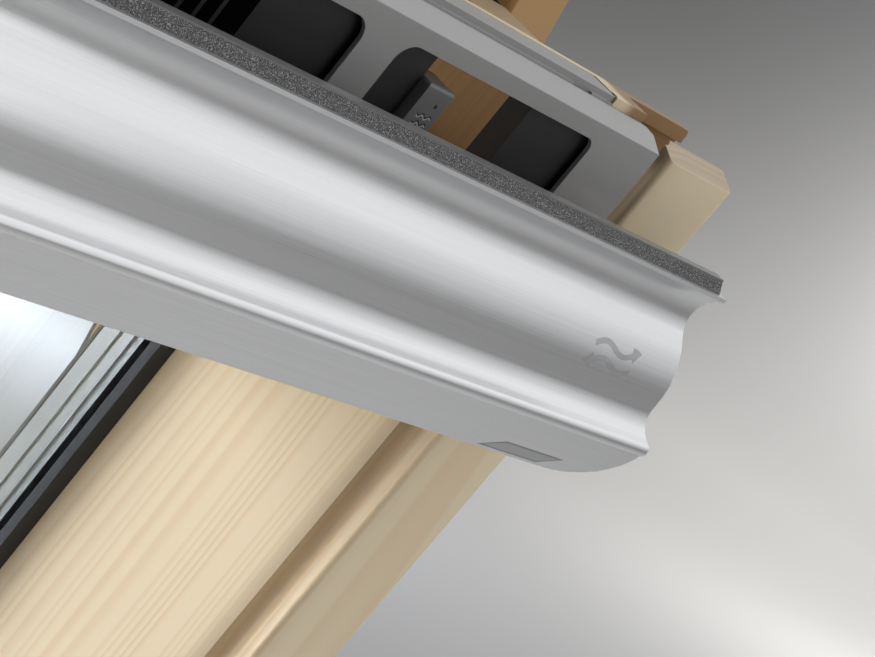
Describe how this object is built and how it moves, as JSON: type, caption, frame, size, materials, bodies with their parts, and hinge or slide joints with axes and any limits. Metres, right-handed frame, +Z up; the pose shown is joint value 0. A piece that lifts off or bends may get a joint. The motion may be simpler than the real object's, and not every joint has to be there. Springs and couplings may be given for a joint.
{
  "type": "roof skylight",
  "caption": "Centre-pivot timber roof window with frame, sealed glass, perforated vent channel and a hinged aluminium control bar.",
  "frame": {"origin": "middle of the underside of the frame, half way through the depth of its timbers", "axes": "+X to the right seen from the room, +Y from the room to the outside, +Z up the slope of the window"},
  "size_m": [0.874, 0.3232, 0.9795],
  "materials": {
    "pine": "clear lacquered pine",
    "sheet_cover": "dark grey lacquer",
    "zinc_steel": "zinc plated",
    "screw_steel": "zinc plated",
    "gasket": "matt",
    "glass": "clear",
    "spacer": "mill finish",
    "channel_grey": "grey lacquer",
    "black_plastic": "moulded",
    "catch_plastic": "moulded",
    "fleece": "needled",
    "anodised": "satin anodised",
    "foam": "closed cell foam",
    "foam_film": "satin film",
    "washer_plastic": "moulded",
    "bush_plastic": "moulded"
  },
  "bodies": {
    "frame": {"frame_head": "pine", "frame_sill": "pine", "frame_jamb_left": "pine", "frame_jamb_right": "pine", "hood": "sheet_cover", "jamb_cover_left": "sheet_cover", "jamb_cover_right": "sheet_cover", "sill_cover": "sheet_cover", "frame_hinge_left": "zinc_steel", "frame_hinge_right": "zinc_steel", "striker_plate": "zinc_steel", "fixing_bracket_lower_left": "zinc_steel", "fixing_bracket_lower_right": "zinc_steel", "fixing_bracket_upper_left": "zinc_steel", "fixing_bracket_upper_right": "zinc_steel", "corner_screws": "screw_steel", "fixing_screws": "screw_steel", "frame_hinge_screws": "screw_steel", "striker_screws": "screw_steel", "head_seal": "gasket", "sill_seal": "gasket", "jamb_seal_left": "gasket", "jamb_seal_right": "gasket", "friction_washer_left": "washer_plastic", "friction_washer_right": "washer_plastic", "bolt_bushes": "bush_plastic"},
    "sash": {"stile_left": "pine", "stile_right": "pine", "top_rail": "pine", "bottom_rail": "pine", "head_strip": "pine", "stile_cover_left": "sheet_cover", "stile_cover_right": "sheet_cover", "top_rail_cover": "sheet_cover", "bottom_rail_cover": "sheet_cover", "sash_hinge_left": "zinc_steel", "sash_hinge_right": "zinc_steel", "bar_brackets": "zinc_steel", "bar_pins": "zinc_steel", "bolt_housing": "zinc_steel", "latch_case": "zinc_steel", "sash_hinge_screws": "screw_steel", "inner_gasket": "gasket", "outer_gasket": "gasket", "inner_pane": "glass", "outer_pane": "glass", "spacer_bar": "spacer", "vent_channel": "channel_grey", "seal_rail": "channel_grey", "filter_cassette": "black_plastic", "vent_end_block_left": "black_plastic", "vent_end_block_right": "black_plastic", "filter_fleece": "fleece"},
    "bar": {"control_bar": "anodised", "bar_foam": "foam", "bar_foam_strip": "foam_film", "bar_arms": "anodised"},
    "latch": {"latch_bolt": "zinc_steel"},
    "catch": {"filter_catch": "catch_plastic"},
    "bolt": {"cleaning_bolt": "zinc_steel"}
  },
  "joints": [
    {"name": "sash_pivot", "type": "hinge", "parent": "frame", "child": "sash", "pos_m": [0, -0.013, 0.489], "axis": [1, 0, 0], "range_deg": [-12, 159]},
    {"name": "bar_swing", "type": "hinge", "parent": "sash", "child": "bar", "pos_m": [0, -0.11406, 0.86828], "axis": [1, 0, 0], "range_deg": [-20.5, 12]},
    {"name": "latch_slide", "type": "slide", "parent": "sash", "child": "latch", "axis": [0, -0.2079, 0.9781], "range_m": [-0.0048, 0.0082]},
    {"name": "catch_slide", "type": "slide", "parent": "sash", "child": "catch", "axis": [1, 0, 0], "range_m": [0, 0.014]},
    {"name": "bolt_slide", "type": "slide", "parent": "sash", "child": "bolt", "axis": [-1, 0, 0], "range_m": [0, 0.022]}
  ],
  "couplings": [
    {"joint": "latch_slide", "follows": "bar_swing", "m_per_rad": -0.022918}
  ]
}
